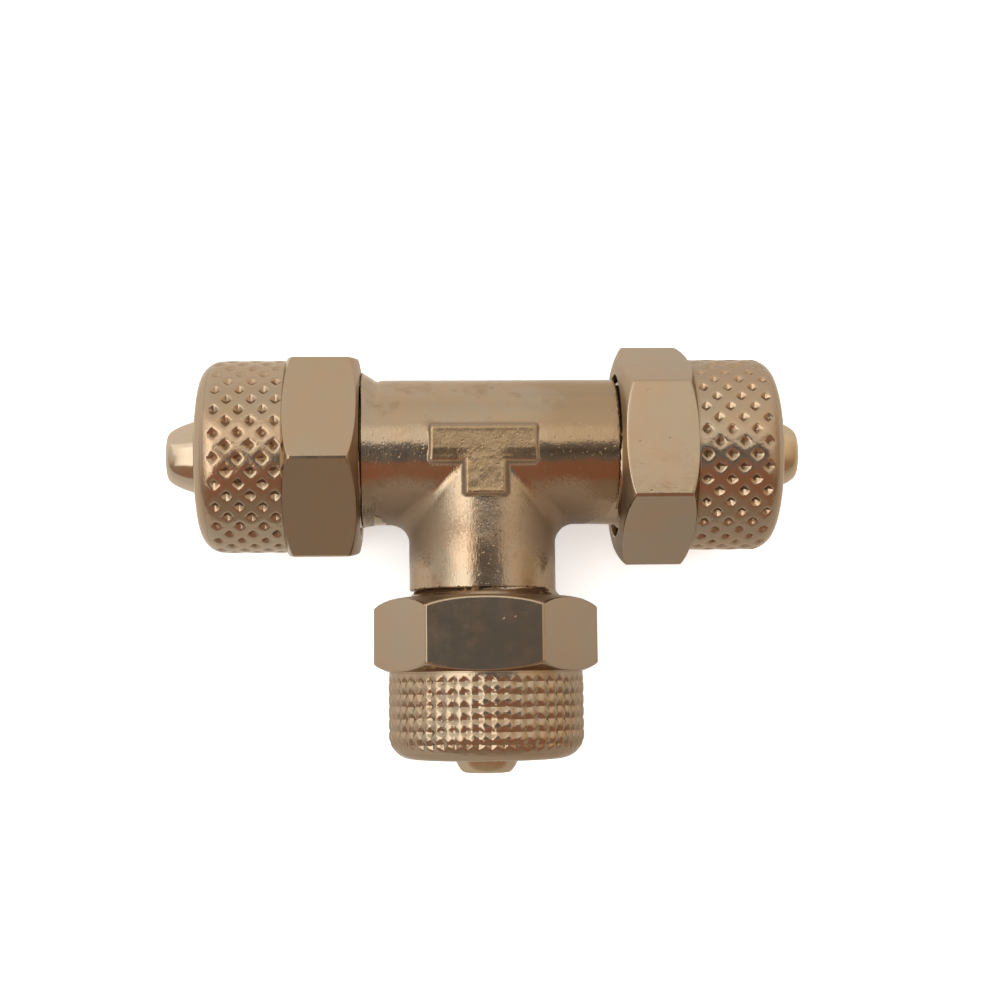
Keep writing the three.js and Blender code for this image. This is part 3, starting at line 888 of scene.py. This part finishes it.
# painted shadow: the glow is darkened in a round patch, 8 mm in radius, under the tee
painted_shadow_reach = n.math("POWER", n.math("ADD", n.math("POWER", n.math("MULTIPLY", n.math("ADD", fx, -0.006), 125.0), 2.0),
                              n.math("POWER", n.math("MULTIPLY", n.math("ADD", fy, 0.002), 125.0), 2.0)), 0.5)
tone = n.math("SUBTRACT", tone, n.between(painted_shadow_reach, 0.2, 1.0, 0.28, 0.0))
tint = n.mix(n.between(n.math("SUBTRACT", fx, fy), -0.01, 0.035), (1.0, 0.98, 0.96), (1.0, 0.92, 0.84))
glow = n.new("ShaderNodeEmission", {"Color": tint, "Strength": tone})
path = n.new("ShaderNodeLightPath").outputs
both = n.new("ShaderNodeMixShader", {0: n.math("MULTIPLY", path["Is Glossy Ray"], 0.8), 1: matt.outputs[0], 2: glow.outputs[0]})
# lifts the soft contact shadow to a pale one
pale = n.new("ShaderNodeEmission", {"Color": (1, 1, 1, 1), "Strength": n.math("MULTIPLY", path["Is Camera Ray"], 0.40)})
lit = n.new("ShaderNodeAddShader", {0: both.outputs[0], 1: pale.outputs[0]})
o = n.new("ShaderNodeOutputMaterial")
n.tree.links.new(lit.outputs[0], o.inputs["Surface"])
floor.data.materials.append(m)

# a dark card above the object, beside the lens, that the metal mirrors
card = plane("dark_card", 0.0225, CROSS[1] * MM - 0.01475, (CROSS[2] + 117) * MM, 0.0465, 0.02875)
m = bpy.data.materials.new("card_dark")
m.use_nodes = True
n = Nodes(m.node_tree)
cx, cy, _ = n.new("ShaderNodeSeparateXYZ", {0: n.new("ShaderNodeTexCoord").outputs["Object"]}).outputs
reach = n.math("POWER", n.math("ADD", n.math("POWER", n.math("MULTIPLY", n.math("ADD", cx, -0.017), 62.0), 2.0),
                               n.math("POWER", n.math("MULTIPLY", n.math("ADD", cy, 0.009), 62.0), 2.0)), 0.5)
rest = n.mix(n.between(cx, -0.002, 0.014), (0.185, 0.19, 0.205), (0.27, 0.265, 0.27))
shade = n.mix(n.between(reach, 0.30, 1.0), (0.045, 0.03, 0.025), rest)
e = n.new("ShaderNodeEmission", {"Color": shade, "Strength": 1.0})
o = n.new("ShaderNodeOutputMaterial")
n.tree.links.new(e.outputs[0], o.inputs["Surface"])
card.data.materials.append(m)
card.visible_camera = False
card.visible_shadow = False
card.visible_diffuse = False

world = bpy.data.worlds.new("studio")
bpy.context.scene.world = world
world.use_nodes = True
n = Nodes(world.node_tree)
dx, dy, dz = n.new("ShaderNodeSeparateXYZ", {0: n.new("ShaderNodeTexCoord").outputs["Generated"]}).outputs
beta = n.math("DEGREES", n.math("ARCSINE", dy))
alpha = n.math("DEGREES", n.math("ARCSINE", dx))


def at(deg):
    return (deg + 90) / 180.0


def zone_mask(lo, hi, soft, value):
    """1 where value, in degrees, is between lo and hi, with soft sides."""
    up = n.between(value, lo - soft, lo + soft)
    down = n.between(value, hi - soft, hi + soft, 1.0, 0.0)
    return n.math("MULTIPLY", up, down)


# the room front to back
room = n.ramp(n.math("MULTIPLY_ADD", beta, 1 / 180.0, 0.5), [
    (at(-90), (0.50, 0.42, 0.35)),
    (at(-74), (0.50, 0.43, 0.37)),
    (at(-57), (0.47, 0.37, 0.30)),
    (at(-46), (0.46, 0.30, 0.23)),
    (at(-24), (0.50, 0.36, 0.28)),
    (at(-12), (0.95, 0.85, 0.75)),
    (at(4), (1.15, 1.12, 1.06)),
    (at(33), (1.22, 1.20, 1.14)),
    (at(52), (1.20, 1.19, 1.14)),
    (at(73), (1.10, 1.06, 1.00)),
    (at(90), (1.22, 1.17, 1.10)),
])
# and side to side, less so towards the back
sides = n.ramp(n.math("MULTIPLY_ADD", alpha, 1 / 180.0, 0.5), [
    (at(-90), (0.74, 0.74, 0.76)),
    (at(-63), (0.94, 0.92, 0.92)),
    (at(-45), (1.0, 1.0, 1.0)),
    (at(35), (1.0, 0.92, 0.86)),
    (at(52), (1.0, 0.84, 0.70)),
    (at(67), (0.70, 0.57, 0.43)),
    (at(84), (0.62, 0.52, 0.37)),
    (at(90), (0.66, 0.56, 0.42)),
])
sides = n.mix(n.between(beta, 30.0, 65.0, 0.0, 0.7), sides, (1.0, 1.0, 1.0))
mixed = n.new("ShaderNodeMix", data_type="RGBA", blend_type="MULTIPLY")
sockets = [i for i in mixed.inputs if i.type == "RGBA"]
[i for i in mixed.inputs if i.name == "Factor" and i.type == "VALUE"][0].default_value = 1.0
n.tree.links.new(room, sockets[0])
n.tree.links.new(sides, sockets[1])
sky = [o for o in mixed.outputs if o.type == "RGBA"][0]
# warm wall low in front, a bright strip above, a window at the left
warm = n.math("MULTIPLY", zone_mask(-50, -19, 3.0, beta), zone_mask(-42, 48, 9.0, alpha))
sky = n.mix(warm, sky, (0.50, 0.235, 0.145))
strip = n.math("MULTIPLY", zone_mask(3, 33, 2.5, beta), zone_mask(-60, 31, 4.0, alpha))
bar = n.mix(n.between(alpha, -4.0, 8.0), (1.78, 1.72, 1.62), (1.36, 1.28, 1.18))
sky = n.mix(strip, sky, bar)
window = n.math("MULTIPLY", zone_mask(-27, 22, 3.0, beta), zone_mask(-56, -17.5, 3.0, alpha))
edge = n.between(alpha, -60.0, -34.0, 1.6, 2.95)
pane = n.new("ShaderNodeVectorMath", {0: (1.0, 0.985, 0.955), "Scale": edge}, operation="SCALE").outputs[0]
sky = n.mix(window, sky, pane)
fringe = n.math("MULTIPLY", zone_mask(-20, 8, 2.0, beta), zone_mask(-16.5, -11.5, 1.2, alpha))
sky = n.mix(fringe, sky, (0.62, 0.40, 0.22))
# plain and pale where it is seen directly, past the edge of the floor
sky = n.mix(n.new("ShaderNodeLightPath").outputs["Is Camera Ray"], sky, (0.97, 0.97, 0.965))
bg = n.new("ShaderNodeBackground", {"Color": sky, "Strength": 1.0})
o = n.new("ShaderNodeOutputWorld")
n.tree.links.new(bg.outputs[0], o.inputs["Surface"])

# broad overhead light for the floor only in effect: the metal doesn't mirror it
light = bpy.data.lights.new("overhead", "AREA")
light.shape = "DISK"
light.size = 1.4
light.energy = 12.0
lamp = bpy.data.objects.new("overhead", light)
lamp.location = (-0.1, 0.1, 1.2)
lamp.rotation_euler = (0, 0, 0)
lamp.visible_glossy = False
lamp.visible_camera = False
bpy.context.scene.collection.objects.link(lamp)

cam_data = bpy.data.cameras.new("camera")
cam_data.lens = 60.04
cam_data.sensor_width = 36.0
cam_data.clip_start = 0.001
cam_data.clip_end = 20.0
cam = bpy.data.objects.new("camera", cam_data)
cam.matrix_world = Matrix((
    (0.9990081, 0.0061555, -0.0441003, -0.003590),
    (-0.0108919, 0.9940934, -0.1079799, -0.007661),
    (0.0431752, 0.1083531, 0.9931745, 0.109648),
    (0, 0, 0, 1)))
bpy.context.scene.collection.objects.link(cam)
bpy.context.scene.camera = cam

bpy.context.scene.view_settings.view_transform = "Standard"
bpy.context.scene.view_settings.look = "None"
bpy.context.scene.view_settings.exposure = 0.0
